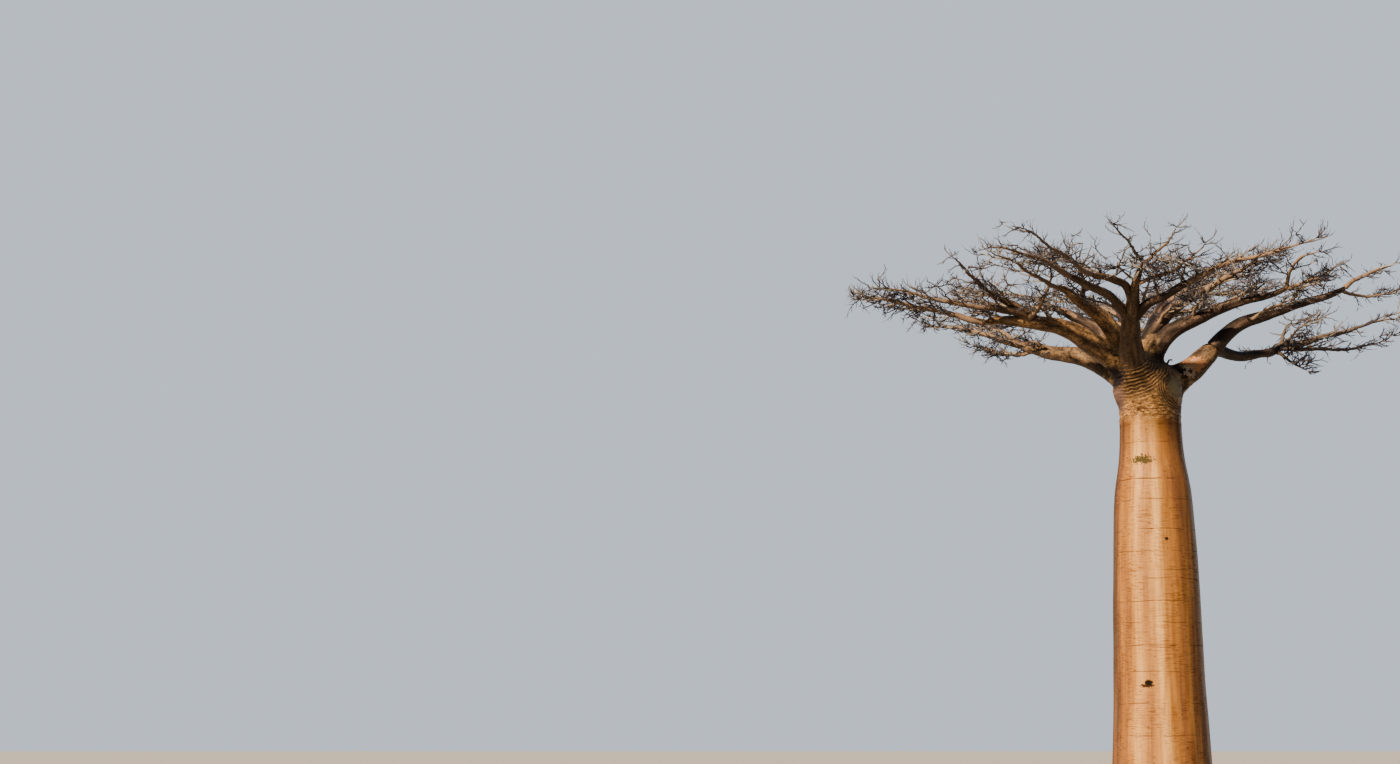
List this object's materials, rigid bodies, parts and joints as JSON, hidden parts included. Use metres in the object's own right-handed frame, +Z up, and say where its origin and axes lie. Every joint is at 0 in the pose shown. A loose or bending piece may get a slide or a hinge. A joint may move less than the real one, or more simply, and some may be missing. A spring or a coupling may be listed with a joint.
{
  "type": "baobab tree",
  "caption": "Leafless baobab tree: a smooth bottle-shaped trunk with a wide, flat-topped crown of bare boughs and fine twigs.",
  "frame": {"origin": "middle of the trunk's flat cut at ground level", "axes": "+Z up the trunk, +X to the right and +Y away as the tree is seen in the picture"},
  "size_m": [21.1524, 17.6577, 19.8084],
  "materials": {
    "trunk_bark": "smooth copper-tan bark with a soft sheen",
    "bough_bark": "smooth orange-brown bark with cracked darker patches",
    "limb_bark": "orange-brown bark, darker underneath",
    "twigs": "matt grey-brown twigs with tan highlights"
  },
  "bodies": {
    "root": {"trunk": "trunk_bark", "front_bough": "bough_bark", "left_bough": "bough_bark", "right_bough": "bough_bark", "low_left_bough": "bough_bark", "left_high_bough": "bough_bark", "right_mid_bough": "bough_bark", "right_high_bough": "bough_bark", "back_right_bough": "bough_bark", "back_bough": "bough_bark", "back_left_bough": "bough_bark", "left_upper_limb": "limb_bark", "left_dark_limb": "limb_bark", "front_left_limb": "limb_bark", "front_high_left_limb": "limb_bark", "front_right_limb": "limb_bark", "right_upper_limb": "limb_bark", "right_lower_limb": "limb_bark", "left_tip_twigs": "twigs", "left_upper_tip_twigs": "twigs", "left_dark_tip_twigs": "twigs", "left_riser_twigs": "twigs", "low_left_tip_twigs": "twigs", "low_left_under_twigs": "twigs", "low_left_side_twigs": "twigs", "left_high_tip_twigs": "twigs", "left_high_upright_twigs": "twigs", "front_left_tip_twigs": "twigs", "front_high_left_tip_twigs": "twigs", "front_top_left_tip_twigs": "twigs", "front_top_right_tip_twigs": "twigs", "front_right_tip_twigs": "twigs", "front_right_upper_twigs": "twigs", "right_mid_tip_twigs": "twigs", "right_mid_upright_twigs": "twigs", "right_high_tip_twigs": "twigs", "right_upper_tip_twigs": "twigs", "right_upper_side_twigs": "twigs", "right_upper_riser_twigs": "twigs", "right_lower_tip_twigs": "twigs", "right_lower_side_twigs": "twigs", "right_lower_back_twigs": "twigs", "right_lower_droop_twigs": "twigs", "right_lower_riser_twigs": "twigs", "back_right_tip_twigs": "twigs", "back_right_side_twigs": "twigs", "back_right_upright_twigs": "twigs", "back_tip_twigs": "twigs", "back_side_twigs": "twigs", "back_upright_twigs": "twigs", "back_left_tip_twigs": "twigs", "back_left_side_twigs": "twigs"}
  },
  "joints": []
}
